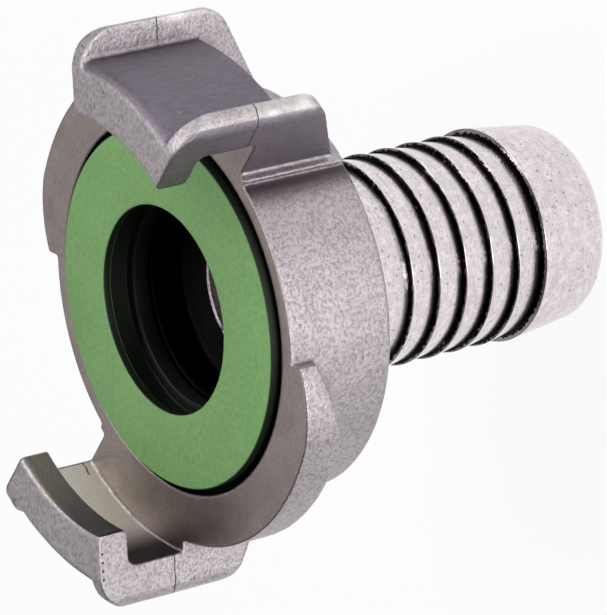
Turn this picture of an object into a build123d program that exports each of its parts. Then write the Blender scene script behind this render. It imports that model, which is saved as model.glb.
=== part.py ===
"""Quarter turn claw coupling with a ribbed tail for a 19 mm hose.

One cast stainless body (drum, two ramped flange lobes, two hooked claws and a hose tail)
and the rubber ring that seals its mating face. Millimetres. +Z runs out of the mating
face, the tail end stands on Z = 0 and the claws are centred on +X and -X.
"""
import os
from math import cos, radians, sin, tan

from build123d import *

# ---------------------------------------------------------------- driving dimensions
# overall
face_height = 44.2          # tail end to mating face
claw_spacing = 40.0         # between the inner edges of the two claw lips
claw_count = 2

# drum behind the mating face
drum_radius = 19.2
drum_depth = 11.35
drum_back_bevel = 0.4
rim_depth = 1.2             # how far lobes and claws reach into the drum

# flange lobe: the ramp that the mating claw slides behind
lobe_radius = 22.6
lobe_thickness = 4.1        # at its outer edge, past the ramp
lobe_root_draft = 0.7       # extra thickness where the lobe meets the drum
ramp_start_angle = 106.5    # from the claw's centre line, where the ramp begins
ramp_length_angle = 19.5
ramp_tip_radius = 20.7      # lobe radius where the ramp begins
ramp_tip_thickness = 1.85
ramp_sections = 5           # sections that the ramp is lofted through

# claw
claw_half_angle = 20.0
claw_reach = 9.3            # mating face to the claw's front end
slot_width = 6.0            # mating face to the lip
lip_depth = 3.7             # how far the lip reaches in from the arm
arm_thickness = 1.6         # under the sunk roof between the ribs
roof_rear = 3.4             # how far behind the face the roof stays level
roof_slope = 62.0           # fall of its rear side, degrees from the axis
slot_corner_round = 1.0
lip_edge_bevel = 0.35
roof_front_round = 1.2

# raised rib along each side of a claw
rib_height = 2.7            # above the roof
rib_angle = 3.8             # width, as an angle about the axis
rib_front_round = 4.0
rib_rear_round = 3.5
rib_rear = 5.8              # corner of the rib's crest and its rear slope, behind the face
rib_tail_gap = 0.45         # rear slope ends this far ahead of the drum's back
rib_side_round = 1.5        # outer edge of the crest, seen along the axis

# ledge left by the mould along the claw's foot, on the bare side of the drum
ledge_radius = 19.75
ledge_angle = 2.6

# hose tail
barb_count = 6
barb_pitch = 3.1
first_barb_depth = 20.35    # mating face to the first crest
barb_crest_radius = 10.2
last_crest_radius = 10.4
barb_depth = 0.5
last_barb_depth = 0.95      # the groove ahead of the last barb is deeper
barb_step = 0.25            # length of the steep side that grips the hose
last_barb_step = 0.45
tail_end_radius = 9.6
nose_round = 2.1
bore_radius = 6.5
bore_mouth_chamfer = 0.25

# seat of the seal in the body
seat_radius = 17.65
seat_depth = 1.6
throat_radius = 12.2
throat_length = 0.9
groove_radius = 13.5
groove_width = 1.9
chamber_radius = 9.6
chamber_length = 3.4
bore_lead_length = 1.0      # cone from the chamber down to the bore

# seal ring
seal_flange_clearance = 0.65  # around the flange in its seat
seal_rise = 0.58            # above the mating face at its outer edge
seal_crown = 0.34           # further rise at its inner edge
seal_hole_radius = 9.85
seal_lip_thickness = 0.9
seal_wall = 1.1             # wall behind the front lip
seal_rear_lip_thickness = 1.7
seal_neck_clearance = 0.1   # around the throat
seal_bead_clearance = 0.2   # to the wall and rear of the groove
seal_edge_bevel = 0.3        # at its outer and inner front edges

# ---------------------------------------------------------------- derived sizes
lip_radius = claw_spacing / 2
arm_inner_radius = lip_radius + lip_depth
roof_radius = arm_inner_radius + arm_thickness
rib_radius = roof_radius + rib_height
barb_root_radius = barb_crest_radius - barb_depth
last_root_radius = last_crest_radius - last_barb_depth
seal_flange_radius = seat_radius - seal_flange_clearance
core_radius = drum_radius - rim_depth
drum_back = face_height - drum_depth
cut_margin = 1.0                      # how far cutting profiles run past a surface
side_allowance = 1.0                  # degrees that a claw's profiles are swung past its sides
crest_trim = 0.02                     # taken off the ribs' crests with the sides


def radial_plane(angle, height=0.0):
    """Plane through the Z axis: its X is the radius at angle, its Y is +Z."""
    turn = radians(angle)
    return Plane(origin=(0, 0, height), x_dir=(cos(turn), sin(turn), 0),
                 z_dir=(sin(turn), -cos(turn), 0))


def rounded_profile(plane, corners):
    """Closed sketch from (radius, height, rounding) corners on a plane."""
    with BuildSketch(plane) as profile:
        with BuildLine():
            Polyline(*[(radius, height) for radius, height, _ in corners], close=True)
        make_face()
        for radius, height, rounding in corners:
            if rounding:
                corner = profile.vertices().sort_by_distance((radius, height, 0))[0]
                fillet(corner, rounding)
    return profile.sketch


# ---------------------------------------------------------------- claw
# inner side of arm and lip, from the drum to the claw's front end
hook_corners = [(core_radius, 0, 0), (arm_inner_radius, 0, 0),
                (arm_inner_radius, slot_width, slot_corner_round),
                (lip_radius + lip_edge_bevel, slot_width, 0),
                (lip_radius, slot_width + lip_edge_bevel, 0),
                (lip_radius, claw_reach - lip_edge_bevel, 0),
                (lip_radius + lip_edge_bevel, claw_reach, 0)]
roof_fall = (roof_radius - core_radius) / tan(radians(roof_slope))
arm_corners = hook_corners + [(roof_radius, claw_reach, roof_front_round),
                              (roof_radius, -roof_rear, 0),
                              (core_radius, -roof_rear - roof_fall, 0)]
rib_corners = hook_corners + [(rib_radius, claw_reach, rib_front_round),
                              (rib_radius, -rib_rear, rib_rear_round),
                              (core_radius, rib_tail_gap - drum_depth, 0)]

# arm and ribs are swung past the claw's sides, and then trimmed to them
claw_start = -claw_half_angle - side_allowance
rib_swing = rib_angle + side_allowance
rib_planes = [radial_plane(angle, face_height)
              for angle in (claw_start, claw_half_angle - rib_angle)]
with BuildPart() as claw:
    add(rounded_profile(radial_plane(claw_start, face_height), arm_corners))
    revolve(axis=Axis.Z, revolution_arc=-2 * claw_start)
    for plane in rib_planes:
        add(rounded_profile(plane, rib_corners))
        revolve(axis=Axis.Z, revolution_arc=rib_swing)
    # seen along the axis, the claw is a sector with rounded outer corners
    with BuildSketch() as outline:
        with BuildLine():
            swing = radians(claw_half_angle)
            trimmed = rib_radius - crest_trim
            corner = (trimmed * cos(swing), trimmed * sin(swing))
            Polyline(corner, (0, 0), (corner[0], -corner[1]))
            ThreePointArc((corner[0], -corner[1]), (trimmed, 0), corner)
        make_face()
        fillet(outline.vertices().group_by(Axis.X)[-1], rib_side_round)
    extrude(amount=face_height + claw_reach, mode=Mode.INTERSECT)

# ---------------------------------------------------------------- flange lobe
ramp_end_angle = ramp_start_angle - ramp_length_angle


def lobe_corners(radius, thickness):
    """Section of the lobe, thicker at its root than at its edge."""
    return [(core_radius, 0, 0), (radius, 0, 0), (radius, -thickness, 0),
            (core_radius, -thickness - lobe_root_draft, 0)]


with BuildPart() as lobe:
    add(rounded_profile(radial_plane(0, face_height), lobe_corners(lobe_radius, lobe_thickness)))
    revolve(axis=Axis.Z, revolution_arc=ramp_end_angle)
    # helical ramp: from full size down to its tip
    for step in range(ramp_sections):
        along = step / (ramp_sections - 1)
        radius = lobe_radius - (lobe_radius - ramp_tip_radius) * along ** 1.5
        thickness = lobe_thickness - (lobe_thickness - ramp_tip_thickness) * along
        add(rounded_profile(radial_plane(ramp_end_angle + ramp_length_angle * along, face_height),
                            lobe_corners(radius, thickness)))
    loft()

# ---------------------------------------------------------------- ledge at the claw's foot
with BuildPart() as ledge:
    add(rounded_profile(radial_plane(-claw_half_angle - ledge_angle, face_height),
                        [(core_radius, 0, 0), (ledge_radius, 0, 0),
                         (ledge_radius, rib_tail_gap - drum_depth, 0),
                         (core_radius, rib_tail_gap - drum_depth, 0)]))
    revolve(axis=Axis.Z, revolution_arc=ledge_angle + claw_half_angle / 2)

# ---------------------------------------------------------------- body
# hose tail: each barb rises gently from the hose end and drops steeply towards the drum
crest_heights = [face_height - first_barb_depth - barb_pitch * i for i in range(barb_count)]
crest_radii = [barb_crest_radius] * (barb_count - 1) + [last_crest_radius]
tail_corners = [(0, 0, 0), (tail_end_radius, 0, nose_round)]
barb_steps = [barb_step] * (barb_count - 1) + [last_barb_step]
root_radii = [barb_root_radius] * (barb_count - 1) + [last_root_radius]
barbs = list(zip(crest_heights, crest_radii, barb_steps, root_radii))
for height, radius, step, root in reversed(barbs):
    tail_corners += [(radius, height, 0), (root, height + step, 0)]
tail_corners += [(barb_root_radius, drum_back, 0),
                 (drum_radius - drum_back_bevel, drum_back, 0),
                 (drum_radius, drum_back + drum_back_bevel, 0), (drum_radius, face_height, 0),
                 (0, face_height, 0)]

# passage through the body, from the seal's seat down to the tail end
throat_top = face_height - seat_depth
groove_top = throat_top - throat_length
chamber_top = groove_top - groove_width
lead_top = chamber_top - chamber_length
lead_end = lead_top - bore_lead_length
above = face_height + cut_margin
mouth = bore_mouth_chamfer
passage_corners = [(0, above, 0), (seat_radius, above, 0), (seat_radius, throat_top, 0),
                   (throat_radius, throat_top, 0), (throat_radius, groove_top, 0),
                   (groove_radius, groove_top, 0), (groove_radius, chamber_top, 0),
                   (chamber_radius, chamber_top, 0), (chamber_radius, lead_top, 0),
                   (bore_radius, lead_end, 0), (bore_radius, mouth, 0),
                   (bore_radius + mouth + cut_margin, -cut_margin, 0), (0, -cut_margin, 0)]

with BuildPart() as coupling_body:
    add(rounded_profile(Plane.XZ, tail_corners))
    revolve(axis=Axis.Z)
    with PolarLocations(0, claw_count):
        add(claw.part)
        add(lobe.part)
        add(ledge.part)
    add(rounded_profile(Plane.XZ, passage_corners))
    revolve(axis=Axis.Z, mode=Mode.SUBTRACT)

# ---------------------------------------------------------------- seal ring
neck_outer = throat_radius - seal_neck_clearance
bead_outer = groove_radius - seal_bead_clearance
bead_bottom = chamber_top + seal_bead_clearance
cavity_radius = neck_outer - seal_wall
crown_height = face_height + seal_rise + seal_crown
rear_lip_top = bead_bottom + seal_rear_lip_thickness
seal_corners = [(seal_hole_radius + seal_edge_bevel, crown_height, 0),
                (seal_hole_radius, crown_height - seal_edge_bevel, 0),
                (seal_hole_radius, crown_height - seal_lip_thickness, 0),
                (cavity_radius, face_height - seal_lip_thickness / 2, 0),
                (cavity_radius, rear_lip_top, 0),
                (seal_hole_radius, rear_lip_top, 0), (seal_hole_radius, bead_bottom, 0),
                (bead_outer, bead_bottom, 0), (bead_outer, groove_top, 0),
                (neck_outer, groove_top, 0), (neck_outer, throat_top, 0),
                (seal_flange_radius, throat_top, 0),
                (seal_flange_radius, face_height + seal_rise - seal_edge_bevel, 0),
                (seal_flange_radius - seal_edge_bevel, face_height + seal_rise, 0)]
with BuildPart() as seal_ring:
    add(rounded_profile(Plane.XZ, seal_corners))
    revolve(axis=Axis.Z)

# ---------------------------------------------------------------- export
os.makedirs("parts", exist_ok=True)
coupling_body.part.label = "coupling_body"
seal_ring.part.label = "seal_ring"
export_step(coupling_body.part, "parts/coupling_body.step")
export_step(seal_ring.part, "parts/seal_ring.step")
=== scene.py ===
"""Looks of a quarter turn claw coupling: cast head, turned hose tail and rubber face seal."""

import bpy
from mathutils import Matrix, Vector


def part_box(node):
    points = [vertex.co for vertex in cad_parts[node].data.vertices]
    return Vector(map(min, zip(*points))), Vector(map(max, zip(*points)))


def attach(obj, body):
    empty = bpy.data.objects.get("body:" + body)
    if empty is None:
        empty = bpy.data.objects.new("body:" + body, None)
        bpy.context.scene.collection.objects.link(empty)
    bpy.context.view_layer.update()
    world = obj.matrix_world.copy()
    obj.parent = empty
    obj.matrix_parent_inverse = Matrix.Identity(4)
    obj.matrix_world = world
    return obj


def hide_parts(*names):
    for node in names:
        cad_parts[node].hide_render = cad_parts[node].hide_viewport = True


bl_info = {
    "name": "Claw coupling",
    "version": (1, 0, 0),
    "blender": (4, 5, 0),
    "location": "3D View > Sidebar > Coupling",
    "description": "Builds the cast head, the hose tail and the seal of a claw coupling",
    "category": "Object",
}

from math import cos, pi, radians, sin

import bmesh
import bpy
from mathutils import Quaternion, Vector, noise

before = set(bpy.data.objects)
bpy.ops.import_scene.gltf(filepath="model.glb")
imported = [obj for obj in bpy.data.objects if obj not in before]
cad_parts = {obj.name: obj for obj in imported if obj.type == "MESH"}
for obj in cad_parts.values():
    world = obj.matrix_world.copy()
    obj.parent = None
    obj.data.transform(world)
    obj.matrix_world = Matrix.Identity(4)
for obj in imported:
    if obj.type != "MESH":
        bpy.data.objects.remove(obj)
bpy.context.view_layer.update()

MM = 0.001
BODY = "coupling_body"
SEAL = "seal_ring"
body_low, body_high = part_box(BODY)
seal_low, seal_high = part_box(SEAL)


# Each lamp's name, azimuth and elevation in degrees, distance and size in metres, and watts
LAMPS = (("key", -70.0, 5.0, 0.45, 0.22, 1.85),
         ("side", 0.0, 5.0, 0.45, 0.22, 0.48),
         ("high", 40.0, 40.0, 0.45, 0.22, 0.78),
         ("top", 40.0, 80.0, 0.45, 0.22, 0.95),
         ("back", 130.0, 38.0, 0.60, 0.60, 0.60))
SPLIT = 0.02 * MM          # the head and the tail meet this close to the drum's back
WELD = 1e-7                # vertices closer than this are one
NOSE_STEPS = 10
TAIL_STEPS = 192
SEAL_STEPS = 176
TAIL_EDGE = 0.07 * MM      # bevel of the barbs


# ------------------------------------------------------------------ settings
def length(name, description, millimetres):
    """A length in metres with its default given in millimetres."""
    return bpy.props.FloatProperty(name=name, description=description, default=millimetres * MM,
                                   unit="LENGTH", precision=5)


def number(name, description, default):
    return bpy.props.FloatProperty(name=name, description=description, default=default)


def colour(name, description, default):
    return bpy.props.FloatVectorProperty(name=name, description=description, default=default,
                                         subtype="COLOR", size=3, min=0, max=1)


class HeadSizes(bpy.types.PropertyGroup):
    claw_reach: length("Claw reach", "From the mating face to the claws' front ends", 9.3)
    drum_depth: length("Drum depth", "From the mating face to the drum's back", 11.35)
    drum_radius: length("Drum radius", "Outside of the drum", 19.2)
    face_radius: length("Face radius", "Outer reach of the turned face", 23.4)
    lip_radius: length("Lip radius", "Inner edge of the claws' lips", 20.0)
    arm_radius: length("Arm radius", "Inner wall of the claws' arms", 23.7)
    slot_width: length("Slot width", "From the mating face to the lips", 6.0)
    seat_radius: length("Seat radius", "Seat of the seal", 17.65)
    roof_radius: length("Roof radius", "Sunk field between a claw's ribs", 25.3)
    skin: length("Skin", "Mesh size of the cast skin", 0.15)
    skin_faces: bpy.props.IntProperty(name="Skin faces", default=190000,
                                      description="Triangles that the cast skin keeps")
    wave_depth: length("Wave depth", "Slow waviness of the cast skin", 0.05)
    wave_size: length("Wave size", "Distance over which the cast skin waves", 3.5)
    grain_depth: length("Grain depth", "Fine unevenness of the cast skin", 0.03)
    grain_size: length("Grain size", "Size of that unevenness", 0.9)
    rib_slope: number("Rib slope", "Tangent of the angle where a claw's ribs begin", 0.287)
    side_slope: number("Side slope", "Tangent of the angle of a claw's sides", 0.364)
    mould_line: length("Mould line", "Height of the mould line above the mating face", 1.0)


class TailSizes(bpy.types.PropertyGroup):
    barb_count: bpy.props.IntProperty(name="Barbs", description="Number of barbs", default=6)
    first_barb: length("First barb", "From the mating face to the first crest", 20.35)
    pitch: length("Pitch", "Distance between crests", 3.1)
    crest_radius: length("Crest radius", "Outside of the barbs", 10.2)
    last_crest_radius: length("Last crest radius", "Outside of the last barb", 10.4)
    root_radius: length("Root radius", "Where a barb starts to rise", 9.7)
    cut_radius: length("Cut radius", "Bottom of the narrow cut behind each crest", 9.5)
    cut_width: length("Cut width", "Width of that cut", 0.26)
    last_cut_width: length("Last cut width", "Width of the cut behind the last crest", 0.42)
    end_radius: length("End radius", "Outside of the land at the end", 9.6)
    nose_round: length("Nose round", "Rounding of the outer end", 2.1)
    bore_radius: length("Bore radius", "Inside of the tail", 6.5)
    mouth_bevel: length("Mouth bevel", "Bevel at the end of the bore", 0.25)


class SealSizes(bpy.types.PropertyGroup):
    flange_radius: length("Flange radius", "Outside of the seal's face", 17.0)
    hole_radius: length("Hole radius", "Hole in the seal's face", 9.85)
    rise: length("Rise", "Height of the outer edge above the mating face", 0.58)
    lip: length("Lip", "Thickness of the front lip", 0.9)
    seat_depth: length("Seat depth", "From the mating face to the seat", 1.6)
    throat: length("Throat", "Length of the neck behind the seat", 0.9)
    neck_radius: length("Neck radius", "Outside of the neck", 12.1)
    bead_radius: length("Bead radius", "Outside of the bead in its groove", 13.3)
    wall_radius: length("Wall radius", "Inside of the neck", 11.0)
    rear_lip: length("Rear lip", "Thickness of the rear lip", 1.7)
    edge_round: length("Edge round", "Rounding of the moulded edges", 0.22)


class Finishes(bpy.types.PropertyGroup):
    cast: colour("Cast", "Shot-blasted stainless steel", (0.46, 0.405, 0.495))
    cast_warm: colour("Cast, warm", "Warm specks of the blasted grain", (0.52, 0.49, 0.42))
    cast_dark: colour("Cast hollows", "Hollows of the blasted grain", (0.20, 0.168, 0.22))
    # the turned face's colour is partly painted shade
    face: colour("Turned face", "Turned mating face", (0.34, 0.29, 0.275))
    face_dark: colour("Turned face, dark", "Darker rings of the turned face", (0.25, 0.21, 0.20))
    # the roofs' dark colour is painted shade
    roof: colour("Brushed roof", "Brushed field between the ribs", (0.165, 0.143, 0.162))
    # bright metal of worn edges, also a painted highlight on the ribs' crests
    worn: colour("Worn edge", "Bright metal along worn edges", (0.78, 0.76, 0.73))
    tail: colour("Turned tail", "Turned hose tail", (0.79, 0.72, 0.77))
    # painted shadow in the tail's cuts and inside the head
    recess_shadow: colour("Soot", "Dirt in the cuts behind the crests", (0.006, 0.005, 0.005))
    green: colour("Green rubber", "Seal", (0.178, 0.347, 0.125))
    lip: colour("Lip", "Inner bands of the lips", (0.25, 0.215, 0.195))
    # painted light on the claws' inner walls
    arm: colour("Arm", "Inner walls of the claws", (0.82, 0.79, 0.70))
    # painted shade in corners, under the ledges and beside the tail's cuts, darker ends of lips
    # and arms, and also the pinholes and the mould line
    shade_and_flaws: colour("Grime", "Dirt in the casting's corners", (0.06, 0.045, 0.055))
    # painted shade on the seal's walls
    seal_shade: colour("Oily dirt", "Walls of the seal", (0.003, 0.006, 0.002))
    green_dark: colour("Green rubber, dark", "Hollows of the seal's grain", (0.140, 0.285, 0.095))


class Studio(bpy.types.PropertyGroup):
    azimuth: number("Azimuth", "Side that the camera looks from, in degrees from +X", -50.67)
    elevation: number("Elevation", "Height of the camera, in degrees", 33.11)
    roll: number("Roll", "Turn of the camera about its view, in degrees", -103.454)
    distance: length("Distance", "From the camera to its aim", 470.407)
    aim: bpy.props.FloatVectorProperty(name="Aim", description="Point that the camera aims at",
                                       default=(0.001993, -0.006802, 0.034197),
                                       unit="LENGTH", size=3)
    lens: number("Lens", "Focal length in millimetres", 299.4)
    floor_size: length("Floor", "Half the width of the floor", 1500)
    floor_colour: colour("Floor colour", "Paint of the floor", (0.8, 0.8, 0.8))
    floor_white: number("Floor white", "Share of plain white; the rest keeps the shadow", 0.92)
    world: number("World", "Plain light from all round", 0.10)


# ------------------------------------------------------------------ node graphs
class Graph:
    """A material's nodes, made and linked in one line each."""

    def __init__(self, name):
        self.material = bpy.data.materials.new(name)
        self.material.use_nodes = True
        self.tree = self.material.node_tree
        self.tree.nodes.clear()
        self.coordinates = self.add("ShaderNodeTexCoord").outputs["Object"]

    def add(self, kind, inputs=None, **settings):
        node = self.tree.nodes.new(kind)
        for key, value in settings.items():
            setattr(node, key, value)
        for key, value in (inputs or {}).items():
            if isinstance(value, bpy.types.NodeSocket):
                self.tree.links.new(value, node.inputs[key])
            else:
                node.inputs[key].default_value = value
        return node

    def math(self, operation, *values, clamp=False):
        node = self.add("ShaderNodeMath", dict(enumerate(values)), operation=operation)
        node.use_clamp = clamp
        return node.outputs[0]

    def between(self, value, low, high, to_low=0.0, to_high=1.0):
        """Smooth step from to_low at low to to_high at high."""
        node = self.add("ShaderNodeMapRange", {0: value, 1: low, 2: high, 3: to_low, 4: to_high},
                        interpolation_type="SMOOTHSTEP")
        return node.outputs[0]

    def mix(self, factor, first, second):
        node = self.add("ShaderNodeMix", {0: factor, 6: rgba(first), 7: rgba(second)},
                        data_type="RGBA")
        return node.outputs[2]

    def noise(self, vector, size, detail=2.0, roughness=0.5):
        node = self.add("ShaderNodeTexNoise", {"Vector": vector, "Scale": 1 / size,
                                               "Detail": detail, "Roughness": roughness})
        return node.outputs[0]

    def cells(self, vector, size):
        node = self.add("ShaderNodeTexVoronoi", {"Vector": vector, "Scale": 1 / size})
        return node.outputs["Distance"]

    def axes(self):
        node = self.add("ShaderNodeSeparateXYZ", {0: self.coordinates})
        x, y, z = node.outputs
        radius = self.math("SQRT", self.math("ADD", self.math("MULTIPLY", x, x),
                                             self.math("MULTIPLY", y, y)))
        return x, y, z, radius

    def vector(self, x, y, z):
        return self.add("ShaderNodeCombineXYZ", {0: x, 1: y, 2: z}).outputs[0]

    def hollows(self, distance):
        """1 in tight corners, 0 in the open."""
        node = self.add("ShaderNodeAmbientOcclusion", {"Distance": distance}, samples=8,
                        only_local=True)
        return self.math("SUBTRACT", 1.0, node.outputs["AO"])

    def bump(self, height, depth):
        return self.add("ShaderNodeBump", {"Height": height, "Distance": depth,
                                           "Strength": 1.0}).outputs[0]

    def surface(self, **inputs):
        shader = self.add("ShaderNodeBsdfPrincipled", inputs)
        self.add("ShaderNodeOutputMaterial", {"Surface": shader.outputs[0]})
        return self.material


def rgba(value):
    """A colour with its alpha, or the socket that it is."""
    if isinstance(value, bpy.types.NodeSocket):
        return value
    return (*value, 1.0)


# ------------------------------------------------------------------ finishes
def cast_steel(sizes, finishes):
    """Blasted casting with a turned face, brushed roofs and worn edges; painted shade darkens its
    corners, the ledges' undersides, the roofs, the claws' following sides, the face and the
    inside, painted light brightens the arms' inner walls, and a painted highlight lies on the
    ribs' crests.
    """
    graph = Graph("cast_stainless")
    x, y, z, radius = graph.axes()
    face = body_high.z - sizes.claw_reach
    here = graph.coordinates
    grain = graph.noise(here, 0.36 * MM, detail=4.0, roughness=0.75)
    coarse = graph.noise(here, 2.6 * MM, detail=2.0)
    pits = graph.between(graph.cells(here, 0.85 * MM), 0.10, 0.22)
    cast = graph.mix(graph.between(grain, 0.40, 0.56), finishes.cast_dark, finishes.cast)
    cast = graph.mix(graph.math("MULTIPLY", pits, 0.4), cast, finishes.cast_warm)
    tone = graph.between(coarse, 0.3, 0.7, 0.94, 1.03)
    cast = graph.add("ShaderNodeMix", {0: 1.0, 6: cast, 7: graph.vector(tone, tone, tone)},
                     data_type="RGBA", blend_type="MULTIPLY").outputs[2]
    # turned face: fine rings about the axis, in a colour darkened partly by painted shade
    rings = graph.noise(graph.vector(radius, 0.0, 0.0), 0.16 * MM, detail=2.0)
    mottle = graph.noise(here, 0.3 * MM, detail=2.0, roughness=0.7)
    stains = graph.noise(here, 3.0 * MM, detail=4.0, roughness=0.6)
    patches = graph.math("ADD", graph.math("MULTIPLY", rings, 0.25),
                         graph.math("ADD", graph.math("MULTIPLY", stains, 0.35),
                                    graph.math("MULTIPLY", mottle, 0.4)))
    turned = graph.mix(graph.between(patches, 0.36, 0.64), finishes.face_dark, finishes.face)
    on_face = graph.math("COMPARE", z, face, 0.07 * MM)
    on_face = graph.math("MULTIPLY", on_face, graph.math("LESS_THAN", radius, sizes.face_radius))
    # brushed roof between a claw's ribs, brushed along the axis; its dark colour is painted shade
    streaks = graph.noise(graph.vector(x, y, graph.math("MULTIPLY", z, 0.22)), 0.30 * MM,
                          detail=3.0)
    brushed = graph.mix(graph.between(streaks, 0.35, 0.65), finishes.cast_dark, finishes.roof)
    on_roof = graph.math("MULTIPLY", graph.between(radius, sizes.roof_radius - 0.9 * MM,
                                                   sizes.roof_radius - 0.5 * MM),
                         graph.between(radius, sizes.roof_radius + 0.7 * MM,
                                       sizes.roof_radius + 0.5 * MM))
    # painted shade in tight corners, from the occlusion of nearby surfaces
    shade_and_flaws = graph.between(graph.hollows(3 * MM), 0.18, 0.60, 0.0, 0.95)
    slope = graph.math("DIVIDE", graph.math("ABSOLUTE", y),
                       graph.math("MAXIMUM", graph.math("ABSOLUTE", x), MM))
    in_field = graph.between(slope, sizes.rib_slope + 0.008, sizes.rib_slope - 0.008)
    on_roof = graph.math("MULTIPLY", on_roof, in_field)
    base = graph.mix(on_roof, cast, brushed)
    # the claws' following sides take the roofs' dark brushed colour, as painted shade
    turn = graph.math("DIVIDE", y, graph.add("ShaderNodeMath", {0: x, 1: 1e-5},
                                             operation="ADD").outputs[0])
    on_side = graph.math("MULTIPLY", graph.math("COMPARE", turn, -sizes.side_slope, 0.016),
                         graph.math("GREATER_THAN", radius, sizes.drum_radius + 0.7 * MM))
    base = graph.mix(graph.math("MULTIPLY", on_side, 0.8), base, brushed)
    # painted shade under the ledge at the claws' feet
    under = graph.math("MULTIPLY", graph.between(turn, -sizes.side_slope - 0.26,
                                                 -sizes.side_slope - 0.075),
                       graph.between(turn, -sizes.side_slope - 0.048,
                                     -sizes.side_slope - 0.062))
    under = graph.math("MULTIPLY", under, graph.math("LESS_THAN", z, face - 0.1 * MM))
    shade_and_flaws = graph.math("MAXIMUM", shade_and_flaws, graph.math("MULTIPLY", under, 0.95))
    # lips' inner bands are dark, darker towards one end; the arms' inner walls are painted light,
    # darker towards one end and kept free of the painted corner shade
    above = graph.math("GREATER_THAN", z, face + 0.12 * MM)
    on_lip = graph.math("MULTIPLY", above, graph.math("COMPARE", radius, sizes.lip_radius,
                                                      0.16 * MM))
    base = graph.mix(on_lip, base, graph.mix(graph.between(turn, -0.30, 0.30), finishes.lip,
                                             finishes.shade_and_flaws))
    on_arm = graph.math("MULTIPLY", above, graph.math("COMPARE", radius, sizes.arm_radius,
                                                      0.45 * MM))
    on_arm = graph.math("MULTIPLY", on_arm, graph.math("LESS_THAN", z,
                                                       face + sizes.slot_width + 0.1 * MM))
    end_darkening = graph.between(turn, 0.02, 0.24)
    base = graph.mix(graph.math("MULTIPLY", on_arm, graph.math("COMPARE", turn, 0.0, 0.352)),
                     base, graph.mix(end_darkening, finishes.arm, finishes.shade_and_flaws))
    shade_and_flaws = graph.math("MULTIPLY", shade_and_flaws, graph.math("SUBTRACT", 1.0, on_arm))
    # pinholes along the front edge of the claws' leading sides
    dots = graph.math("PINGPONG", radius, 0.42 * MM)
    dots = graph.math("MULTIPLY", graph.math("LESS_THAN", dots, 0.12 * MM),
                      graph.math("COMPARE", z, face + sizes.claw_reach - 0.42 * MM, 0.12 * MM))
    dots = graph.math("MULTIPLY", dots, graph.math("COMPARE", radius, sizes.arm_radius
                                                   - 0.9 * MM, 1.7 * MM))
    dots = graph.math("MULTIPLY", dots, graph.math("COMPARE", turn, sizes.side_slope, 0.012))
    shade_and_flaws = graph.math("MAXIMUM", shade_and_flaws, dots)
    # worn crests: bright metal, partly wear and partly a painted highlight
    crest = graph.between(radius, sizes.roof_radius + 1.7 * MM, sizes.roof_radius + 2.5 * MM)
    rear = graph.between(z, face + 3.0 * MM, face - 1.5 * MM, 0.15, 1.0)
    crest = graph.math("MULTIPLY", crest, graph.math("MULTIPLY", rear, graph.between(
        coarse, 0.35, 0.6, 0.4, 0.9)))
    base = graph.mix(crest, base, finishes.worn)
    # mould line over the ribs
    wobble = graph.math("MULTIPLY_ADD", graph.noise(here, 0.8 * MM), 0.5 * MM, z)
    line = graph.math("COMPARE", wobble, face + sizes.mould_line + 0.25 * MM, 0.07 * MM)
    line = graph.math("MULTIPLY", line, graph.math("GREATER_THAN", radius,
                                                   sizes.lip_radius + 0.8 * MM))
    line = graph.math("MULTIPLY", line, graph.math("SUBTRACT", 1.0, in_field))
    shade_and_flaws = graph.math("MAXIMUM", shade_and_flaws, graph.math("MULTIPLY", line, 0.9))
    base = graph.mix(shade_and_flaws, base, finishes.shade_and_flaws)
    base = graph.mix(on_face, base, turned)
    # worn edges
    sharpness = graph.add("ShaderNodeNewGeometry").outputs["Pointiness"]
    worn = graph.math("MULTIPLY", graph.between(sharpness, 0.60, 0.72),
                      graph.between(graph.noise(here, 1.2 * MM), 0.35, 0.55, 0.25, 0.9))
    base = graph.mix(worn, base, finishes.worn)
    # painted shadow inside the head, down to the bore, which keeps the cast colour
    inside = graph.math("MULTIPLY", graph.math("LESS_THAN", radius, sizes.seat_radius + 0.1 * MM),
                        graph.math("LESS_THAN", z, face - 0.15 * MM))
    inside = graph.math("MULTIPLY", inside, graph.math("GREATER_THAN", radius, 6.8 * MM))
    inside = graph.math("MULTIPLY", inside, graph.math("GREATER_THAN", z, face - 9.0 * MM))
    base = graph.mix(inside, base, finishes.recess_shadow)
    rough = graph.mix(on_face, (0.44, 0.44, 0.44), (0.40, 0.40, 0.40))
    grain = graph.math("SUBTRACT", grain, graph.math("MULTIPLY", line, 1.2))
    height = graph.math("ADD", graph.math("MULTIPLY", grain, graph.math("SUBTRACT", 1.0, on_face)),
                        graph.math("MULTIPLY", rings, graph.math("MULTIPLY", on_face, 0.12)))
    return graph.surface(**{"Base Color": base, "Metallic": 1.0, "Roughness": rough,
                            "Normal": graph.bump(height, 0.09 * MM)})


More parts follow.
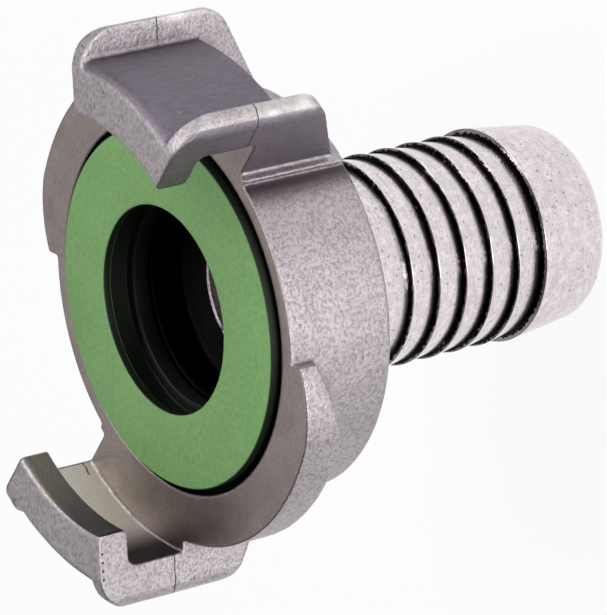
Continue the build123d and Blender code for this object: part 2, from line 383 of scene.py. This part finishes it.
def turned_steel(sizes, finishes, reach):
    """Turned hose tail with fine rings, specks, and painted shadow in and beside its cuts."""
    graph = Graph("turned_stainless")
    x, y, z, radius = graph.axes()
    here = graph.coordinates
    rings = graph.noise(graph.vector(graph.math("MULTIPLY", x, 0.05),
                                     graph.math("MULTIPLY", y, 0.05), z), 0.14 * MM, detail=3.0)
    speck = graph.noise(here, 0.35 * MM, detail=3.0, roughness=0.7)
    base = graph.mix(graph.between(rings, 0.3, 0.7), [c * 0.82 for c in finishes.tail],
                     finishes.tail)
    blotch = graph.noise(here, 0.9 * MM, detail=4.0, roughness=0.75)
    base = graph.mix(graph.between(blotch, 0.46, 0.66), base,
                     [c * s for c, s in zip(finishes.tail, (1.14, 1.13, 1.01))])
    base = graph.mix(graph.between(speck, 0.40, 0.30), base, finishes.cast_dark)
    # painted shadow in the cut behind every crest, on its steep side and floor, with a ragged edge
    first = body_high.z - reach - sizes.first_barb
    phase = graph.math("FLOORED_MODULO", graph.math("SUBTRACT", z, first), sizes.pitch)
    ragged = graph.math("MULTIPLY_ADD", graph.noise(here, 0.5 * MM, detail=3.0, roughness=0.7),
                        0.9 * MM, -0.47 * MM)
    width = graph.math("ADD", ragged, sizes.cut_width)
    wide = graph.math("MULTIPLY", graph.math("LESS_THAN", z, first - 4.4 * sizes.pitch),
                      sizes.last_cut_width - sizes.cut_width)
    recess_shadow = graph.math("LESS_THAN", phase, graph.math("ADD", width, wide))
    barbs = graph.math("COMPARE", z, first - 2.25 * sizes.pitch, 3.2 * sizes.pitch)
    recess_shadow = graph.math("MULTIPLY", recess_shadow, barbs)
    rim = graph.math("ADD", ragged, sizes.crest_radius - 0.14 * MM)
    recess_shadow = graph.math("MULTIPLY", recess_shadow, graph.math("LESS_THAN", radius, rim))
    recess_shadow = graph.math("MULTIPLY", recess_shadow, graph.math("GREATER_THAN", radius,
                                                   sizes.bore_radius + 0.5 * MM))
    shade = graph.math("MULTIPLY", graph.between(phase, 1.1 * MM, 0.4 * MM, 0.0, 0.45), barbs)
    base = graph.mix(shade, base, finishes.shade_and_flaws)
    base = graph.mix(recess_shadow, base, finishes.recess_shadow)
    return graph.surface(**{"Base Color": base, "Metallic": 1.0, "Roughness": 0.24,
                            "Normal": graph.bump(graph.math("ADD", rings, speck), 0.012 * MM)})


def green_rubber(sizes, finishes):
    """Matt moulded rubber, with painted shade on its walls."""
    graph = Graph("green_rubber")
    here = graph.coordinates
    grain = graph.noise(here, 0.5 * MM, detail=4.0, roughness=0.7)
    slow = graph.noise(here, 5.0 * MM)
    base = graph.mix(graph.between(graph.math("MULTIPLY_ADD", slow, 0.3, grain), 0.45, 0.85),
                     finishes.green_dark, finishes.green)
    # painted shade on the walls beside and inside the face, deepening down the hole
    x, y, z, radius = graph.axes()
    outside = graph.between(radius, sizes.flange_radius - 0.22 * MM,
                            sizes.flange_radius - 0.05 * MM)
    inside = graph.between(radius, sizes.hole_radius + 0.10 * MM, sizes.hole_radius)
    deep = graph.between(z, seal_high.z - sizes.lip, seal_high.z - sizes.lip - 0.5 * MM)
    base = graph.mix(graph.math("MAXIMUM", graph.math("MAXIMUM", outside, inside), deep), base,
                     finishes.seal_shade)
    return graph.surface(**{"Base Color": base, "Roughness": 0.62,
                            "Specular IOR Level": 0.35,
                            "Normal": graph.bump(grain, 0.015 * MM)})


def floor_paint(studio):
    """Pale floor that shows white, also in metal, and keeps a little of the shadow."""
    graph = Graph("floor_paint")
    pale = graph.add("ShaderNodeBsdfDiffuse", {"Color": rgba(studio.floor_colour)}).outputs[0]
    white = graph.add("ShaderNodeEmission", {"Color": (1, 1, 1, 1), "Strength": 1.0}).outputs[0]
    path = graph.add("ShaderNodeLightPath").outputs
    seen = graph.math("ADD", graph.math("ADD", path["Is Camera Ray"], path["Is Glossy Ray"]),
                      path["Is Transmission Ray"], clamp=True)
    shown = graph.add("ShaderNodeMixShader",
                      {0: graph.math("MULTIPLY", seen, studio.floor_white),
                       1: pale, 2: white}).outputs[0]
    graph.add("ShaderNodeOutputMaterial", {"Surface": shown})
    return graph.material


# ------------------------------------------------------------------ shaping
def new_piece(name, mesh, material, node):
    """Puts a finished mesh in the scene, riding on the coupling."""
    mesh.materials.clear()
    mesh.materials.append(material)
    piece = bpy.data.objects.new(name, mesh)
    bpy.context.scene.collection.objects.link(piece)
    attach(piece, "root")
    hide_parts(node)
    return piece


def spun(profile, steps):
    """Closed ring: an outline of (radius, height) points turned once about the axis."""
    work = bmesh.new()
    corners = [work.verts.new((radius, 0, height)) for radius, height in profile]
    edges = [work.edges.new((corner, corners[i - 1])) for i, corner in enumerate(corners)]
    bmesh.ops.spin(work, geom=corners + edges, cent=(0, 0, 0), axis=(0, 0, 1), dvec=(0, 0, 0),
                   angle=2 * pi, steps=steps, use_merge=True, use_duplicate=False)
    bmesh.ops.remove_doubles(work, verts=work.verts[:], dist=WELD)
    bmesh.ops.recalc_face_normals(work, faces=work.faces[:])
    return work


def soften(work, sharper_than, width, segments):
    """Bevels every edge that turns by more than an angle."""
    sharp = [edge for edge in work.edges
             if len(edge.link_faces) == 2 and edge.calc_face_angle() > sharper_than]
    bmesh.ops.bevel(work, geom=sharp, affect="EDGES", offset=width, offset_type="OFFSET",
                    segments=segments, profile=0.5, material=-1, clamp_overlap=True)


def finished(work, name):
    """The worked mesh, shaded smooth."""
    mesh = bpy.data.meshes.new(name)
    work.to_mesh(mesh)
    work.free()
    mesh.shade_smooth()
    return mesh


# ------------------------------------------------------------------ operators
class CouplingHead(bpy.types.Operator):
    """Drum, lobes and claws with a cast skin"""
    bl_idname = "coupling.head"
    bl_label = "Cast head"

    def execute(self, context):
        sizes = context.scene.head_sizes
        work = bmesh.new()
        work.from_mesh(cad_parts[BODY].data)
        bmesh.ops.remove_doubles(work, verts=work.verts[:], dist=WELD)
        face = body_high.z - sizes.claw_reach
        back = face - sizes.drum_depth
        cut = bmesh.ops.bisect_plane(work, geom=work.verts[:] + work.edges[:] + work.faces[:],
                                     dist=WELD, plane_co=(0, 0, back + SPLIT),
                                     plane_no=(0, 0, 1), clear_inner=True)
        rim = [item for item in cut["geom_cut"] if isinstance(item, bmesh.types.BMEdge)]
        loops = bmesh.ops.edgeloop_fill(work, edges=rim)
        if not loops["faces"]:
            raise RuntimeError("the cut behind the drum stayed open")
        mesh = finished(work, "coupling_head")
        solid = bpy.data.objects.new("coupling_head_core", mesh)
        context.scene.collection.objects.link(solid)
        remesh = solid.modifiers.new("skin", "REMESH")
        remesh.mode = "VOXEL"
        remesh.voxel_size = sizes.skin
        remesh.use_smooth_shade = True
        context.view_layer.update()
        ready = solid.evaluated_get(context.evaluated_depsgraph_get())
        skin = bpy.data.meshes.new_from_object(ready)
        bpy.data.objects.remove(solid)
        work = bmesh.new()
        work.from_mesh(skin)
        if not work.faces:
            raise RuntimeError("the head's skin came out empty")
        for _ in range(2):
            bmesh.ops.smooth_vert(work, verts=work.verts[:], factor=0.5,
                                  use_axis_x=True, use_axis_y=True, use_axis_z=True)
        weather(work, sizes, face)
        bmesh.ops.triangulate(work, faces=work.faces[:])
        share = min(1.0, sizes.skin_faces / len(work.faces))
        mesh = thinned(finished(work, "coupling_head"), share)
        new_piece("coupling_head", mesh, cast_steel(sizes, context.scene.finishes),
                  BODY)
        return {"FINISHED"}


def thinned(mesh, share):
    """The same skin with fewer triangles where it is flat."""
    holder = bpy.data.objects.new("thinning", mesh)
    bpy.context.scene.collection.objects.link(holder)
    decimate = holder.modifiers.new("thinning", "DECIMATE")
    decimate.ratio = share
    bpy.context.view_layer.update()
    ready = holder.evaluated_get(bpy.context.evaluated_depsgraph_get())
    result = bpy.data.meshes.new_from_object(ready)
    bpy.data.objects.remove(holder)
    result.shade_smooth()
    return result


def weather(work, sizes, face):
    """Waves and grain of the cast skin, always inwards and never on turned surfaces."""
    work.normal_update()
    moves = []
    for vertex in work.verts:
        place = vertex.co
        radius = place.xy.length
        turned = radius < sizes.face_radius and abs(place.z - face) < 0.1 * MM
        inside = radius < sizes.drum_radius - 1.0 * MM and place.z < face + 0.1 * MM
        if turned or inside:
            continue
        wave = noise.noise(place / sizes.wave_size) * 0.5 - 0.5
        grain = noise.noise(place / sizes.grain_size) * 0.5 - 0.5
        depth = wave * sizes.wave_depth + grain * sizes.grain_depth
        moves.append((vertex, vertex.normal * depth))
    for vertex, move in moves:
        vertex.co += move


class CouplingTail(bpy.types.Operator):
    """Turned hose tail with its barbs"""
    bl_idname = "coupling.tail"
    bl_label = "Hose tail"

    def execute(self, context):
        head, tail = context.scene.head_sizes, context.scene.tail_sizes
        face = body_high.z - head.claw_reach
        back = face - head.drum_depth
        hidden = back + 0.3 * MM
        profile = [(tail.bore_radius + 0.5 * MM, hidden),
                   (tail.bore_radius + 0.5 * MM, back + SPLIT),
                   (tail.bore_radius, back - SPLIT),
                   (tail.bore_radius, tail.mouth_bevel),
                   (tail.bore_radius + tail.mouth_bevel, 0.0)]
        centre = (tail.end_radius - tail.nose_round, tail.nose_round)
        for step in range(NOSE_STEPS + 1):
            angle = radians(90.0 * step / NOSE_STEPS)
            profile.append((centre[0] + tail.nose_round * sin(angle),
                            centre[1] - tail.nose_round * cos(angle)))
        for barb in reversed(range(tail.barb_count)):
            last = barb == tail.barb_count - 1
            crest = tail.last_crest_radius if last else tail.crest_radius
            width = tail.last_cut_width if last else tail.cut_width
            height = face - tail.first_barb - barb * tail.pitch
            profile += [(crest, height), (tail.cut_radius, height + 0.12 * MM),
                        (tail.cut_radius, height + width - 0.05 * MM),
                        (tail.root_radius, height + width)]
        profile.append((tail.root_radius, hidden))
        work = spun(profile, TAIL_STEPS)
        soften(work, radians(22), TAIL_EDGE, 2)
        new_piece("hose_tail", finished(work, "hose_tail"),
                  turned_steel(tail, context.scene.finishes, head.claw_reach),
                  BODY)
        return {"FINISHED"}


class CouplingSeal(bpy.types.Operator):
    """Rubber ring with its front and rear lips"""
    bl_idname = "coupling.seal"
    bl_label = "Face seal"

    def execute(self, context):
        head, seal = context.scene.head_sizes, context.scene.seal_sizes
        face = body_high.z - head.claw_reach
        crown = seal_high.z
        bottom = seal_low.z
        seat = face - seal.seat_depth
        groove = seat - seal.throat
        profile = [(seal.hole_radius, crown), (seal.hole_radius, crown - seal.lip),
                   (seal.wall_radius, face - seal.lip / 2),
                   (seal.wall_radius, bottom + seal.rear_lip),
                   (seal.hole_radius, bottom + seal.rear_lip), (seal.hole_radius, bottom),
                   (seal.bead_radius, bottom), (seal.bead_radius, groove),
                   (seal.neck_radius, groove), (seal.neck_radius, seat),
                   (seal.flange_radius, seat), (seal.flange_radius, face + seal.rise)]
        work = spun(profile, SEAL_STEPS)
        soften(work, radians(25), seal.edge_round, 4)
        new_piece("face_seal", finished(work, "face_seal"),
                  green_rubber(seal, context.scene.finishes), SEAL)
        return {"FINISHED"}


class CouplingStudio(bpy.types.Operator):
    """Pale floor, soft lamps and the camera"""
    bl_idname = "coupling.studio"
    bl_label = "Studio"

    def execute(self, context):
        scene, studio = context.scene, context.scene.studio
        work = bmesh.new()
        bmesh.ops.create_grid(work, x_segments=1, y_segments=1, size=studio.floor_size)
        mesh = finished(work, "floor")
        mesh.materials.append(floor_paint(studio))
        floor = bpy.data.objects.new("floor", mesh)
        scene.collection.objects.link(floor)

        world = bpy.data.worlds.new("studio")
        world.use_nodes = True
        world.node_tree.nodes["Background"].inputs[0].default_value = (1, 1, 1, 1)
        world.node_tree.nodes["Background"].inputs[1].default_value = studio.world
        scene.world = world

        aim = Vector(studio.aim)
        for name, azimuth, elevation, reach, size, watts in LAMPS:
            data = bpy.data.lights.new(name, "AREA")
            data.shape = "DISK"
            data.size = size
            data.energy = watts
            lamp = bpy.data.objects.new(name, data)
            way = heading(azimuth, elevation)
            lamp.location = aim + way * reach
            lamp.rotation_euler = way.to_track_quat("Z", "Y").to_euler()
            scene.collection.objects.link(lamp)

        data = bpy.data.cameras.new("camera")
        data.lens = studio.lens
        data.sensor_width = 36.0
        data.clip_start = 0.01
        camera = bpy.data.objects.new("camera", data)
        way = heading(studio.azimuth, studio.elevation)
        camera.location = aim + way * studio.distance
        turn = way.to_track_quat("Z", "Y") @ Quaternion((0, 0, 1), radians(studio.roll))
        camera.rotation_euler = turn.to_euler()
        scene.collection.objects.link(camera)
        scene.camera = camera
        scene.view_settings.view_transform = "Standard"
        return {"FINISHED"}


def heading(azimuth, elevation):
    """Unit vector towards a side and a height, in degrees."""
    side, height = radians(azimuth), radians(elevation)
    return Vector((cos(side) * cos(height), sin(side) * cos(height), sin(height)))


class CouplingPanel(bpy.types.Panel):
    """Lists the steps that dress the coupling"""
    bl_idname = "VIEW3D_PT_coupling"
    bl_label = "Claw coupling"
    bl_space_type = "VIEW_3D"
    bl_region_type = "UI"
    bl_category = "Coupling"

    def draw(self, context):
        for step in STEPS:
            self.layout.operator(step.bl_idname)
        for group in GROUPS:
            settings = getattr(context.scene, group)
            for key in settings.__annotations__:
                self.layout.prop(settings, key)


STEPS = (CouplingHead, CouplingTail, CouplingSeal, CouplingStudio)
GROUPS = {"head_sizes": HeadSizes, "tail_sizes": TailSizes, "seal_sizes": SealSizes,
          "finishes": Finishes, "studio": Studio}


def register():
    for kind in (*GROUPS.values(), *STEPS, CouplingPanel):
        bpy.utils.register_class(kind)
    for name, kind in GROUPS.items():
        setattr(bpy.types.Scene, name, bpy.props.PointerProperty(type=kind))


def unregister():
    for name in GROUPS:
        delattr(bpy.types.Scene, name)
    for kind in (CouplingPanel, *STEPS, *GROUPS.values()):
        bpy.utils.unregister_class(kind)


def main():
    register()
    bpy.ops.coupling.head()
    bpy.ops.coupling.tail()
    bpy.ops.coupling.seal()
    bpy.ops.coupling.studio()


if __name__ == "__main__":
    main()
